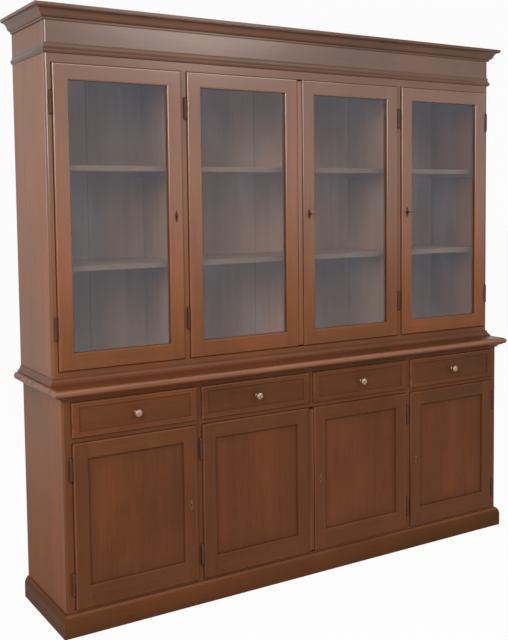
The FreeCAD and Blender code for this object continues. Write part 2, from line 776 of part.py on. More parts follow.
floor_z = (base_floor_top - floor_thickness, base_floor_top)
base_floor = block(base_inner, base_depth_y, floor_z)
base_floor = single(base_floor.cut(slide_hole(lower_leaves[1], base_floor_top, -1)))
base_cells = [(base_inner[0], base_walls[0][0]), (base_walls[0][1], base_walls[2][0]),
              (base_walls[2][1], base_inner[1])]
hutch_cells = [(hutch_inner[0], hutch_walls[0][0]), (hutch_walls[0][1], hutch_walls[2][0]),
               (hutch_walls[2][1], hutch_inner[1])]
decks = [block(x, base_depth_y, (deck_bottom, deck_top)) for x in base_cells]
decks[1] = single(decks[1].cut(slide_hole(lower_leaves[1], deck_bottom, 1)))
save("base_floor_and_decks", [base_floor] + decks)
drawer_wall = block(base_walls[1], base_depth_y, (deck_top, board_bottom))
save("base_partitions", [block(base_walls[i], base_depth_y, (base_floor_top, board_bottom)) for i in (0, 2)]
     + [drawer_wall])


# Shelves: loose boards on two cleats each, evenly spaced between floor and ceiling.
def shelf_levels(low, high, count):
    space = (high - low - count * shelf_thickness) / (count + 1)
    return [low + (i + 1) * space + i * shelf_thickness for i in range(count)]


shelf_cleats = []
for node, cells, face, low, high, count in (
        ("hutch_shelves", hutch_cells, hutch_face, hutch_floor_top, hutch_ceiling, hutch_shelf_count),
        ("base_shelves", base_cells, base_face, base_floor_top, deck_bottom, base_shelf_count)):
    front = face + frame_thickness + shelf_setback
    shelves = []
    for x in cells:
        for level in shelf_levels(low, high, count):
            shelves.append(block((x[0] + shelf_play, x[1] - shelf_play), (front, board_back),
                                 (level, level + shelf_thickness)))
            for wall, way in ((x[0], 1), (x[1], -1)):
                shelf_cleats.append(block((wall, wall + way * cleat), (front + shelf_setback, board_back),
                                          (level - cleat, level)))
    save(node, shelves)
save("shelf_cleats", shelf_cleats)

# Counter top: one board, bull-nosed on the front and both ends, on a mitred cove moulding.
nose = counter_board / 2
counter_half = base_half + counter_overhang
counter_front = base_face - counter_overhang
front_section = outline((back, board_bottom), [(back, counter_height), (counter_front + nose, counter_height),
                                               (counter_front + nose, board_bottom, -nose)],
                        lambda y, z: Vector(-counter_half, y, z))
end_section = outline((nose - counter_half, board_bottom),
                      [(counter_half - nose, board_bottom), (counter_half - nose, counter_height, -nose),
                       (nose - counter_half, counter_height), (nose - counter_half, board_bottom, -nose)],
                      lambda x, z: Vector(x, counter_front, z))
counter = front_section.extrude(Vector(2 * counter_half, 0, 0))
counter = single(counter.common(end_section.extrude(Vector(0, back - counter_front, 0))))
cove_steps = [(counter_cove_foot, cove_bottom),
              (counter_cove_out, board_bottom - counter_cove_lip, counter_cove_hollow),
              (counter_cove_out, board_bottom), (0, board_bottom)]
coves = mitred((0, cove_bottom), cove_steps, base_half, base_face, counter_overhang,
               cove_bottom, board_bottom)
save("counter_top", [counter] + coves)

# Plinth: three boards mitred round the foot of the base.
plinth_steps = [(plinth_out, 0), (plinth_out, plinth_height - plinth_ovolo),
                (plinth_ovolo_top, plinth_height, -plinth_ovolo_round), (0, plinth_height)]
save("plinth", mitred((0, 0), plinth_steps, base_half, base_face, 2 * plinth_out, 0, plinth_height))

# Hutch mouldings: a foot moulding on the counter, a bead under the frieze, and the cornice.
foot_top = counter_height + foot_moulding_height
foot_steps = [(foot_moulding_out, counter_height), (foot_moulding_out, counter_height + foot_moulding_fillet),
              (foot_moulding_top, foot_top, foot_moulding_hollow), (0, foot_top)]
save("hutch_foot_moulding", mitred((0, counter_height), foot_steps, hutch_half, hutch_face,
                                   2 * foot_moulding_out, counter_height, foot_top))

frieze = block((-hutch_half, hutch_half), hutch_y, (frieze_bottom, cornice_bottom))
frieze = rounded_posts(frieze, hutch_face, (-hutch_half, hutch_half), corner_round)
bead_steps = [(bead_out, frieze_bottom + bead_round, -bead_belly),
              (bead_out, frieze_bottom + bead_round + bead_flat),
              (bead_top, frieze_bottom + bead_height, bead_hollow), (0, frieze_bottom + bead_height)]
bead = mitred((0, frieze_bottom), bead_steps, hutch_half, hutch_face, 2 * bead_out,
              frieze_bottom, frieze_bottom + bead_height)
save("frieze", [frieze] + bead)

lip_bottom = overall_height - cornice_lip
ogee = (cornice_bottom + cornice_fillet_height, lip_bottom - cornice_bed)
cornice_steps = [(cornice_fillet_out, cornice_bottom), (cornice_fillet_out, ogee[0]),
                 (cornice_belly_out, sum(ogee) / 2, -cornice_belly),
                 (cornice_hollow_out, ogee[1], cornice_hollow),
                 (cornice_bed_out, ogee[1]), (cornice_bed_out, lip_bottom),
                 (cornice_out, lip_bottom), (cornice_out, overall_height), (-cornice_seat, overall_height)]
save("cornice", mitred((-cornice_seat, cornice_bottom), cornice_steps, hutch_half, hutch_face,
                       cornice_out + cornice_seat, cornice_bottom, overall_height))


# Drawers: a recessed front with a turned knob, sides dovetailed into it, a back and a let-in bottom.
def tails(x, low, root):
    """The dovetails at the front end of a drawer side, wider at their ends than at their necks."""
    pitch = drawer_side_height / tail_count
    prisms = []
    for i in range(tail_count):
        middle = low + (i + 0.5) * pitch
        corners = [(root, middle - tail_neck / 2), (root - tail_length, middle - tail_end / 2),
                   (root - tail_length, middle + tail_end / 2), (root, middle + tail_neck / 2)]
        points = [Vector(min(x), y, z) for y, z in corners]
        flat = Part.Face(Part.makePolygon(points + points[:1]))
        prisms.append(flat.extrude(Vector(abs(x[1] - x[0]), 0, 0)))
    return prisms


def knob(x, z, seat):
    """A turned knob: a spigot in the front, a foot, a waist and a domed head."""
    waist_top = knob_foot_height + knob_waist_height
    head_top = waist_top + knob_head_height
    crown_radius = (knob_head_radius ** 2 + knob_crown_height ** 2) / (2 * knob_crown_height)
    half_chord = math.hypot(knob_head_radius, knob_crown_height) / 2
    crown_rise = crown_radius - math.sqrt(crown_radius ** 2 - half_chord ** 2)
    section = outline((0, -knob_spigot_length),
                      [(knob_spigot_radius, -knob_spigot_length), (knob_spigot_radius, 0),
                       (knob_foot_radius, 0), (knob_foot_radius, knob_foot_height),
                       (knob_head_radius, waist_top, knob_waist_hollow),
                       (knob_head_radius, head_top, -knob_head_round),
                       (0, head_top + knob_crown_height, -crown_rise)],
                      lambda r, out: Vector(x + r, seat - out, z))
    return section.revolve(Vector(x, seat, z), Vector(0, 1, 0), 360)


drawer_low = drawer_opening_bottom + drawer_gap
drawer_high = drawer_opening_top - drawer_gap
drawer_end = board_back - drawer_rear_gap
drawer_face = base_face - front_proud
front_back = base_face + frame_thickness
drawer_walls = [(base_inner[0], base_walls[0][0]), (base_walls[0][1], base_walls[1][0]),
                (base_walls[1][1], base_walls[2][0]), (base_walls[2][1], base_inner[1])]
drawer_guides = []
for number, (opening, walls) in enumerate(zip(base_bays, drawer_walls), start=1):
    left, right = opening[0] + drawer_gap, opening[1] - drawer_gap
    front = block((left, right), (drawer_face, front_back), (drawer_low, drawer_high))
    field_x = (left + front_border_end, right - front_border_end)
    field_z = (drawer_low + front_border, drawer_high - front_border)
    front = single(front.cut(block(field_x, (drawer_face, drawer_face + front_recess), field_z)))

    def in_field(at):
        return (field_x[0] - cut_over < at.x < field_x[1] + cut_over
                and field_z[0] - cut_over < at.z < field_z[1] + cut_over)
    front = rounded_front(front, drawer_face, front_edge_round, lambda at: not in_field(at))
    front = rounded_front(front, drawer_face, front_inner_round, in_field)
    knob_x, knob_z = (left + right) / 2, (drawer_low + drawer_high) / 2
    knob_seat = Vector(knob_x, drawer_face + front_recess, knob_z)
    front = front.cut(Part.makeCylinder(knob_spigot_radius + knob_spigot_play,
                                        knob_spigot_length + knob_spigot_play, knob_seat, Vector(0, 1, 0)))

    inner = (left + drawer_side_thickness, right - drawer_side_thickness)
    bottom_low = drawer_low + drawer_bottom_height
    bottom = block((inner[0] - drawer_bottom_groove, inner[1] + drawer_bottom_groove),
                   (front_back - drawer_bottom_groove, drawer_end),
                   (bottom_low, bottom_low + drawer_bottom_thickness))
    sides = []
    for x in ((left, inner[0]), (inner[1], right)):
        side = block(x, (front_back, drawer_end), (drawer_low, drawer_low + drawer_side_height))
        for tail in tails(x, drawer_low, front_back):
            side, front = joined(side, front, tail)
        sides.append(single(side.cut(bottom)))
    front = single(front.cut(bottom))
    rear = block(inner, (drawer_end - drawer_side_thickness, drawer_end),
                 (bottom_low + drawer_bottom_thickness, drawer_low + drawer_side_height - drawer_back_drop))
    save("drawer_" + str(number) + "_front", [front])
    save("drawer_" + str(number) + "_box", sides + [rear, bottom])
    save("drawer_" + str(number) + "_knob", [knob(knob_x, knob_z, knob_seat.y)])

    # Under and beside each drawer side runs a bearer with a guide, and above it a kicker.
    for wall, edge, way in ((walls[0], left, 1), (walls[1], right, -1)):
        under = (wall, edge + way * runner_width)
        bearer_top = drawer_low - runner_gap
        drawer_guides.append(block(under, base_depth_y, (deck_top, bearer_top)))
        drawer_guides.append(block((wall, edge - way * guide_gap), base_depth_y,
                                   (bearer_top, bearer_top + guide_height)))
        drawer_guides.append(block(under, base_depth_y,
                                   (drawer_low + drawer_side_height + kicker_gap, board_bottom)))
save("drawer_guides", drawer_guides)
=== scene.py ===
"""A dresser with hutch: a base with cupboards and drawers, and above it a hutch with four glass doors.
Front faces -Y, up is +Z, sizes in metres. The CAD frame carries every piece; this script finishes them."""

import math

import bmesh
import bpy
from mathutils import Matrix, Vector


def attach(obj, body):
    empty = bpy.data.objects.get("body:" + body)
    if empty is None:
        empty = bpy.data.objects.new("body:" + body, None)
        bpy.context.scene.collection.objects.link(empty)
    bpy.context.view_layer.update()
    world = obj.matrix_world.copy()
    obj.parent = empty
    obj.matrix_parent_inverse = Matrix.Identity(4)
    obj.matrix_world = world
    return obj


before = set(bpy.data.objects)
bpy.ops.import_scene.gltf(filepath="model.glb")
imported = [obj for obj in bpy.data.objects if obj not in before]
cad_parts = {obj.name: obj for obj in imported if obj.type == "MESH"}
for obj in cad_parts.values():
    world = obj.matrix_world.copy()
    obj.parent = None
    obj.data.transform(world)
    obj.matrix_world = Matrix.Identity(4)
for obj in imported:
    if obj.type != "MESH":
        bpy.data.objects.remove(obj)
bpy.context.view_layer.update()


# ---- Boards inside the case -------------------------------------------------------------------------------
# Floors, decks, shelves, partitions and backs: plain boards of the same wood as the fronts, housed into the
# sides. They are stained once and thinly varnished, so they stay duller and paler than the outside. The backs
# are boards joined edge to edge, and the front edges of the hutch's shelves are stained darker.


class Tone:
    """One output among a finish's nodes. Sums on it add Math nodes, and add() makes any other node."""

    def __init__(self, tree, socket=None):
        self.tree = tree
        self.socket = socket

    def add(self, kind, settings=None, links=None, out=0):
        node = self.tree.nodes.new(kind)
        for name, value in (settings or {}).items():
            setattr(node, name, value)
        for name, value in (links or {}).items():
            if isinstance(value, Tone):
                self.tree.links.new(value.socket, node.inputs[name])
            else:
                node.inputs[name].default_value = value
        return Tone(self.tree, node.outputs[out] if len(node.outputs) else None)

    def output(self, name):
        return Tone(self.tree, self.socket.node.outputs[name])

    def sums(self, operation, first, second=0.0):
        return self.add("ShaderNodeMath", {"operation": operation}, {0: first, 1: second})

    def __add__(self, other):
        return self.sums("ADD", self, other)

    def __mul__(self, other):
        return self.sums("MULTIPLY", self, other)

    def __sub__(self, other):
        return self.sums("SUBTRACT", self, other)

    def __rsub__(self, other):
        return self.sums("SUBTRACT", other, self)

    def __truediv__(self, other):
        return self.sums("DIVIDE", self, other)

    def __pow__(self, other):
        return self.sums("POWER", self, other)

    def __gt__(self, other):
        return self.sums("GREATER_THAN", self, other)

    def __lt__(self, other):
        return self.sums("LESS_THAN", self, other)

    def __abs__(self):
        return self.sums("ABSOLUTE", self)

    def __floor__(self):
        return self.sums("FLOOR", self)

    __radd__ = __add__
    __rmul__ = __mul__

    def ease(self, low, high):
        """0 below low, 1 above high, smooth between."""
        spans = {"Value": self, "From Min": low, "From Max": high}
        return self.add("ShaderNodeMapRange", {"interpolation_type": "SMOOTHSTEP"}, spans)

    def colour(self, first, second):
        """The first colour where this is 0, the second where it is 1."""
        return self.add("ShaderNodeMix", {"data_type": "RGBA"}, {0: self, 6: first, 7: second}, out=2)

    def noise(self, scale, detail=2.0, roughness=0.5, stretch=(1, 1, 1)):
        """Noise over this vector, which is stretched first."""
        stretched = self.add("ShaderNodeVectorMath", {"operation": "MULTIPLY"}, {0: self, 1: stretch})
        cells = {"Vector": stretched, "Scale": scale, "Detail": detail, "Roughness": roughness}
        return self.add("ShaderNodeTexNoise", {"noise_dimensions": "3D"}, cells)


def either(first, second):
    return first.sums("MAXIMUM", first, second)


def start_finish(name):
    finish = bpy.data.materials.new(name)
    finish.use_nodes = True
    finish.node_tree.nodes.clear()
    return finish, Tone(finish.node_tree)


def upright(x, y, z):
    return x, y, z, 0.0


def lengthways(x, y, z):
    return z, y, x, 0.0


def front_to_back(x, y, z):
    return x, z, y, 0.0


def wood(name, stain, lay, gloss=0.42, shine=0.4, coat=0.0, coat_height=(1.0, 1.75), aged_and_shaded=None, corner_shade=0.6):
    """Stained wood. lay turns a point into its places across, through and along the board, and a number that
    differs from board to board. coat is the varnish left at the top of coat_height, thinning out downwards.
    The aging and shading function turns a point into how far the varnish has gone olive there, how far hands
    have rubbed the wood pale together with painted highlights, and how dark dirt and painted shade make it.
    The last argument is how dark the painted shade in corners and gaps is."""
    red, green, blue = stain
    dark = (red * 0.64, green * 0.70, blue * 0.70)
    light = (red * 1.35, green * 1.30, blue * 1.28)
    # Colours: pale for wood rubbed by hands and for painted highlights, olive for aged varnish, and dark for
    # wax in the pores, dirt and painted shade.
    pale_wear_and_highlight = (red * 1.75 + 0.03, green * 1.9 + 0.025, blue * 2.0 + 0.02, 1)
    olive = (red * 0.28, green * 0.97, blue * 1.05, 1)
    wax_and_shade = (red * 0.24, green * 0.28, blue * 0.32, 1)
    finish, tone = start_finish(name)
    point = tone.add("ShaderNodeTexCoord", out=3)
    x = point.add("ShaderNodeSeparateXYZ", links={0: point})
    y = x.output("Y")
    z = x.output("Z")
    across, through, along, board = lay(x, y, z)
    yellowing, wear_and_highlight, dirt_and_shade = aged_and_shaded(x, y, z) if aged_and_shaded else (0.0, 0.0, 0.0)
    moved = {"X": across + board * 0.37, "Y": through + board * 0.21, "Z": along + board * 1.3}
    grain = tone.add("ShaderNodeCombineXYZ", links=moved)
    band = grain.noise(30, detail=3.0, roughness=0.55, stretch=(1, 1, 0.035))
    cloud = grain.noise(6, detail=1.0, stretch=(1, 1, 0.15))
    fibre = grain.noise(420, detail=2.0, roughness=0.6, stretch=(1, 1, 0.018))
    pores = grain.noise(1500, detail=1.0, stretch=(1, 1, 0.03)).ease(0.63, 0.74)
    patch = point.noise(3.2, detail=4.0, roughness=0.6, stretch=(1, 1, 0.6))
    depth = (band - 0.5) * 0.6 + (cloud - 0.5) * 1.05 + (fibre - 0.5) * 0.7 + (patch - 0.5) * 1.2 + 0.5
    stained = depth.colour((*dark, 1), (*light, 1))
    yellowed = (patch.ease(0.2, 0.6) * yellowing).colour(stained, olive)
    paled = (band.ease(0.3, 0.6) * wear_and_highlight).colour(yellowed, pale_wear_and_highlight)
    # Painted shade: the colour is darkened where corners and gaps enclose the surface, by how enclosed each
    # point is.
    crevice = 1 - tone.add("ShaderNodeAmbientOcclusion", {"samples": 6}, {"Distance": 0.016}, out=1)
    darkened = either(either(pores * 0.5, crevice.ease(0.2, 0.9) * corner_shade), dirt_and_shade)
    coloured = darkened.colour(paled, wax_and_shade)
    height = fibre * 0.5 - pores * 0.8 + band * 0.25
    surface = {"Height": height, "Strength": 0.16, "Distance": 0.0008}
    skin = {
        "Base Color": coloured,
        "Roughness": (fibre - 0.5) * 0.22 + (cloud - 0.5) * 0.16 + gloss,
        "Specular IOR Level": shine,
        "Coat Weight": z.ease(*coat_height) * coat if coat else 0.0,
        "Coat Roughness": 0.16,
        "Coat IOR": 1.75,
        "Normal": tone.add("ShaderNodeBump", links=surface),
    }
    shader = tone.add("ShaderNodeBsdfPrincipled", links=skin)
    tone.add("ShaderNodeOutputMaterial", links={"Surface": shader})
    return finish


def dress(finish, *names):
    for name in names:
        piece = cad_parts[name]
        piece.data.materials.clear()
        piece.data.materials.append(finish)


inner_stain = (0.285, 0.152, 0.088)
back_board = 0.26
back_joint = (0.492, 0.497)
shelf_front = -0.0895


def back_lay(x, y, z):
    return x, y, z, math.floor(x / back_board)


def back_age(x, y, z):
    from_middle = abs(x / back_board - math.floor(x / back_board) - 0.5)
    joint_dirt = from_middle.ease(*back_joint) * 0.8
    return 0.0, 0.0, joint_dirt


def shelf_age(x, y, z):
    edge_stain = (y < shelf_front) * 0.66
    return 0.0, 0.0, edge_stain


back_wood = wood("inner_wood_back", inner_stain, back_lay, gloss=0.6, shine=0.25, aged_and_shaded=back_age)
inner_upright = wood("inner_wood_upright", inner_stain, upright, gloss=0.55, shine=0.3)
inner_long = wood("inner_wood_lengthways", inner_stain, lengthways, gloss=0.55, shine=0.3)
shelf_wood = wood("inner_wood_hutch_shelves", inner_stain, lengthways, gloss=0.55, shine=0.3, aged_and_shaded=shelf_age)
inner_deep = wood("inner_wood_front_to_back", inner_stain, front_to_back, gloss=0.6, shine=0.25)
dress(back_wood, "base_back", "hutch_back")
dress(inner_upright, "base_partitions", "hutch_partitions")
dress(inner_long, "base_floor_and_decks", "base_shelves", "hutch_floor_and_tops")
dress(shelf_wood, "hutch_shelves")
dress(inner_deep, "drawer_guides", "shelf_cleats")


# ---- Outside of the base ----------------------------------------------------------------------------------
# Two side boards, the face frame that the doors and drawers close on, and the plinth that carries the case.
# Solid boards stained walnut brown under a satin varnish; the frame is tenoned, the plinth mitred and glued.
# The side boards take a paler copy of the stain, which is painted light, and are darker towards the bottom.

base_stain = (0.112, 0.034, 0.0115)
# Painted light: the side boards take a paler copy of the base stain.
base_side_lit_stain = (0.190, 0.063, 0.022)
base_corner_post = 1.029
base_mid_post = (0.5095, 0.5295)
base_rails = ((0.0, 0.0925), (0.7015, 0.7215), (0.8485, 0.9))
base_front_edge = -0.17
base_corner = (1.052, 1.058)
base_coat = (0.15, 0.85)
plinth_mitre = 1.06 - 0.202
plinth_edge = (0.070, 0.078)


def inside(place, low, high):
    return (place > low) * (place < high)


def crossed(x, y, z, rail):
    """Boards that run upright, and lengthways where rail is 1."""
    across = x + (z - x) * rail
    along = z + (x - z) * rail
    return across, y, along


def base_frame_lay(x, y, z):
    post = either(abs(x) > base_corner_post, inside(abs(x), *base_mid_post))
    rail = inside(z, *base_rails[0])
    for low, high in base_rails[1:]:
        rail = either(rail, inside(z, low, high))
    rail = rail * (1 - post)
    board = math.floor(z * 6) * rail + math.floor(x * 7) * (1 - rail)
    return *crossed(x, y, z, rail), board


def mitred(corner):
    """Lengths that run along the front, and front to back on the returns past the mitres."""

    def lay(x, y, z):
        side = (abs(x) + y) > corner
        across = y + (x - y) * side
        along = x + (y - x) * side
        return across, z, along, side * (1 + (x > 0))

    return lay


# The side boards are darker towards the bottom, and worn pale at the front.
def base_side_age(x, y, z):
    handled = (y < base_front_edge) * 0.1
    darker_low = (1 - z.ease(0.08, 0.8)) * 0.18
    return 0.06, handled, darker_low


def base_frame_age(x, y, z):
    return 0.16, abs(x).ease(*base_corner) * 0.4, 0.0


def plinth_age(x, y, z):
    side = (abs(x) + y) > plinth_mitre
    darker_low = (1 - z.ease(0.0, 0.05)) * 0.16
    return 0.2, z.ease(*plinth_edge) * 0.4, darker_low + side * 0.16 + 0.1


base_wood = wood("walnut_base_sides", base_side_lit_stain, upright, 0.5, 0.04, 0.16, base_coat, base_side_age)
base_frame_wood = wood("walnut_base_frame", base_stain, base_frame_lay, 0.42, 0.1, aged_and_shaded=base_frame_age)
plinth_wood = wood("walnut_plinth", base_stain, mitred(plinth_mitre), 0.55, 0.05, aged_and_shaded=plinth_age)
dress(base_wood, "base_sides")
dress(base_frame_wood, "base_face_frame")
dress(plinth_wood, "plinth")


# ---- Counter top ------------------------------------------------------------------------------------------
# One long board with a bull nose over three lengths of cove moulding, glued under it and mitred. Its nose is
# painted pale, partly as rubbed by hands and partly as a painted highlight, and it is shiny on top; the cove
# under the board is darkened with painted shade.

counter_underside = 0.873
counter_mitre = 1.06 - 0.202
counter_front = (-0.236, -0.226)
counter_ends = (1.084, 1.094)
counter_nose = (0.876, 0.888)
counter_shade = (0.868, 0.876)
counter_rise = (0.882, 0.892)


def counter_lay(x, y, z):
    across, through, along, side = mitred(counter_mitre)(x, y, z)
    board = z > counter_underside
    return across + (y - across) * board, through, along + (x - along) * board, side * (1 - board)


# Painted pale at the nose, part wear and part painted highlight, and painted shade on the cove below the
# board.
def counter_wear_and_shade(x, y, z):
    nose = either(1 - y.ease(*counter_front), abs(x).ease(*counter_ends))
    return 0.1, nose * z.ease(*counter_nose) * 0.95, (1 - z.ease(*counter_shade)) * 0.22


counter_wood = wood("walnut_counter", base_stain, counter_lay, 0.42, 0.15, 0.12, counter_rise, counter_wear_and_shade)
dress(counter_wood, "counter_top")


# ---- Outside of the hutch ---------------------------------------------------------------------------------
# Side boards and face frame as on the base, with a foot moulding where the hutch stands on the counter, and
# the frieze and cornice on top. The side boards take a paler copy of the stain, which is painted light, and
# painted shade under the frieze; the face frame is darkened with painted shade, the wood is darker towards
# the top, and the varnish is glossier.

hutch_stain = (0.174, 0.059, 0.0215)
# Painted light: the side boards take a paler copy of the hutch stain.
hutch_side_lit_stain = (0.198, 0.072, 0.028)
frieze_stain = (0.090, 0.037, 0.019)
cornice_stain = (0.092, 0.036, 0.017)
hutch_corner_post = 1.046
hutch_rails = (0.949, 2.052)
hutch_mitre = 1.067 - 0.132
hutch_middle = 1.5
hutch_corner = (1.058, 1.065)
hutch_front_edge = -0.11
hutch_coat = (1.2, 2.1)
top_darkening_height = (1.35, 2.05)
frieze_shade = (2.075, 2.09)
frieze_board = (2.112, 2.124)


def hutch_frame_lay(x, y, z):
    rail = (1 - inside(z, *hutch_rails)) * (abs(x) < hutch_corner_post)
    board = (z > hutch_middle) * rail * 3 + math.floor(x * 7) * (1 - rail)
    return *crossed(x, y, z, rail), board


# The face frame is darker towards the top, and darkened all over with painted shade; its corners are worn
# pale.
def hutch_frame_age_and_shade(x, y, z):
    return 0.16, abs(x).ease(*hutch_corner) * 0.12, z.ease(*top_darkening_height) * 0.25 + 0.14


# Painted shade at the top of the side boards, under the frieze; their front edges are worn pale.
def hutch_side_age_and_shade(x, y, z):
    return 0.05, (y < hutch_front_edge) * 0.1, z.ease(*frieze_shade) * 0.28


hutch_lay = mitred(hutch_mitre)
side_wood = wood("walnut_hutch_sides", hutch_side_lit_stain, upright, 0.45, 0.2, 0.16, hutch_coat, hutch_side_age_and_shade)
frame_wood = wood("walnut_hutch_frame", hutch_stain, hutch_frame_lay, 0.42, 0.14, 0.7, aged_and_shaded=hutch_frame_age_and_shade)
foot_wood = wood("walnut_foot_moulding", base_stain, hutch_lay, gloss=0.4, shine=0.2)
frieze_wood = wood("walnut_frieze", frieze_stain, hutch_lay, 0.38, 0.35, 0.46, frieze_board)
cornice_wood = wood("walnut_cornice", cornice_stain, hutch_lay, gloss=0.42, shine=0.2, coat=0.21)
dress(side_wood, "hutch_sides")
dress(frame_wood, "hutch_face_frame")
dress(foot_wood, "hutch_foot_moulding")
dress(frieze_wood, "frieze")
dress(cornice_wood, "cornice")


# ---- Glass doors ------------------------------------------------------------------------------------------
# Four doors, each two stiles and two rails tenoned together, with a moulded inner edge and a pane held from
# behind by mitred beads. The stiles run past the rails, so the grain turns at each corner.

upper_pitch = 0.528
upper_rail_half = 0.193
upper_edge = (0.244, 0.249)
upper_ends = ((0.953, 0.958), (2.043, 2.048))


def in_row(x, pitch):
    """Which door of a row of equal ones, and how far from its middle."""
    leaf = math.floor(x / pitch)
    return leaf, x - (leaf + 0.5) * pitch


def near_ends(place, low, high):
    """1 past both eased ends, 0 between them."""
    return either(1 - place.ease(*low), place.ease(*high))


def upper_door_lay(x, y, z):
    leaf, from_middle = in_row(x, upper_pitch)
    rail = abs(from_middle) < upper_rail_half
    board = leaf * 5 + rail * (1 + (z > hutch_middle)) + (from_middle > 0) * (1 - rail) * 3
    return *crossed(x, y, z, rail), board


# Worn pale at the edges; darker towards the top, and darkened with painted shade towards the bottom.
def upper_door_age_and_shade(x, y, z):
    leaf, from_middle = in_row(x, upper_pitch)
    handled = either(abs(from_middle).ease(*upper_edge), near_ends(z, *upper_ends)) * 0.2
    dirt_and_shade = z.ease(*top_darkening_height) * 0.38 + (1 - z.ease(1.0, 1.5)) * 0.12
    return 0.04, handled, dirt_and_shade


upper_wood = wood("walnut_upper_doors", hutch_stain, upper_door_lay, 0.38, 0.14, 1.0, aged_and_shaded=upper_door_age_and_shade)

pane, pane_tone = start_finish("clear_glass")
facing = pane_tone.add("ShaderNodeLayerWeight", links={"Blend": 0.5}, out=1)
pane_place = pane_tone.add("ShaderNodeTexCoord", out=3)
smear = pane_place.noise(7, detail=4.0, stretch=(1, 1, 0.5)).ease(0.45, 0.8)
mirrored = facing ** 5 * 0.85 + smear * 0.03 + 0.08
clear = pane_tone.add("ShaderNodeBsdfTransparent", links={"Color": (0.985, 1.0, 0.99, 1)})
mirror_skin = {"Base Color": (0.44, 0.49, 0.58, 1), "Metallic": 1.0, "Roughness": smear * 0.03 + 0.015}
mirror = pane_tone.add("ShaderNodeBsdfPrincipled", links=mirror_skin)
glazed = pane_tone.add("ShaderNodeMixShader", links={0: mirrored, 1: clear, 2: mirror})
pane_tone.add("ShaderNodeOutputMaterial", links={"Surface": glazed})

for leaf in range(1, 5):
    dress(upper_wood, f"upper_door_{leaf}_frame")
    dress(pane, f"upper_door_{leaf}_glass")


# ---- Panelled doors ---------------------------------------------------------------------------------------
# Four cupboard doors, framed like the glass ones, with a flat panel let into a groove all round. The panel's
# grain runs upright, and the panel's edge where it meets the frame is darkened with painted shade.

lower_pitch = 0.5195
lower_middle = 0.4
lower_rail_half = 0.18975
lower_edge = (0.240, 0.2445)
lower_ends = ((0.096, 0.100), (0.695, 0.699))
panel_height = (0.176, 0.641)
panel_side_rim = (0.14, 0.188)
panel_end_rims = ((0.178, 0.23), (0.59, 0.640))


def lower_door_lay(x, y, z):
    leaf, from_middle = in_row(x, lower_pitch)
    middle = abs(from_middle) < lower_rail_half
    panel = inside(z, *panel_height) * middle
    rail = middle * (1 - panel)
    board = leaf * 5 + rail * (1 + (z > lower_middle)) + panel * 3.5 + (from_middle > 0) * (1 - middle) * 3
    return *crossed(x, y, z, rail), board


def lower_door_age_and_shade(x, y, z):
    leaf, from_middle = in_row(x, lower_pitch)
    out = abs(from_middle)
    panel = inside(z, *panel_height) * (out < lower_rail_half)
    rim = either(out.ease(*panel_side_rim), near_ends(z, *panel_end_rims))
    yellowing = 0.18 - panel * (1 - rim) * 0.12
    handled = either(out.ease(*lower_edge), near_ends(z, *lower_ends)) * 0.35
    # Painted shade round the panel's edge; the frame a little darker.
    dirt_and_shade = panel * rim * 0.1 + (1 - panel) * 0.05
    return yellowing, handled, dirt_and_shade


lower_look = {"aged_and_shaded": lower_door_age_and_shade, "corner_shade": 0.15}
lower_wood = wood("walnut_lower_doors", base_stain, lower_door_lay, 0.42, 0.1, **lower_look)
for leaf in range(1, 5):
    dress(lower_wood, f"lower_door_{leaf}_leaf")


# ---- Drawers ----------------------------------------------------------------------------------------------
# Four drawers with a raised border on the front. The fronts are stained like the doors; the dovetailed sides,
# back and bottom are of plain pale wood, sealed but not stained.

drawer_pale = (0.40, 0.265, 0.145)
drawer_side = 0.22
drawer_edge = (0.242, 0.246)
drawer_ends = ((0.7245, 0.7275), (0.8425, 0.8455))
field_half = 0.2195
field_height = (0.7425, 0.8275)


def drawer_front_lay(x, y, z):
    return z, y, x, math.floor(x / lower_pitch) * 4.0


def drawer_box_lay(x, y, z):
    drawer, from_middle = in_row(x, lower_pitch)
    side = abs(from_middle) > drawer_side
    return z, y + (x - y) * side, x + (y - x) * side, drawer * 4 + side


# Worn pale at the edges; the recessed field is darkened with painted shade, and the whole front a little
# darker.
def drawer_front_age_and_shade(x, y, z):
    drawer, from_middle = in_row(x, lower_pitch)
    out = abs(from_middle)
    field = (out < field_half) * inside(z, *field_height)
    handled = either(out.ease(*drawer_edge), near_ends(z, *drawer_ends)) * 0.4
    return field * 0.05 + 0.13, handled, field * 0.14 + 0.04


drawer_look = {"aged_and_shaded": drawer_front_age_and_shade, "corner_shade": 0.25}
drawer_wood = wood("walnut_drawer_fronts", base_stain, drawer_front_lay, 0.42, 0.1, **drawer_look)
drawer_box_wood = wood("drawer_wood", drawer_pale, drawer_box_lay, gloss=0.62, shine=0.25)
for number in range(1, 5):
    dress(drawer_wood, f"drawer_{number}_front")
    dress(drawer_box_wood, f"drawer_{number}_box")


# ---- Drawer knobs -----------------------------------------------------------------------------------------
# Small turned brass knobs, one to a drawer, each with a spigot let into the front. Fingers keep them bright,
# tarnish lies in patches between, and fine turning marks run round them.

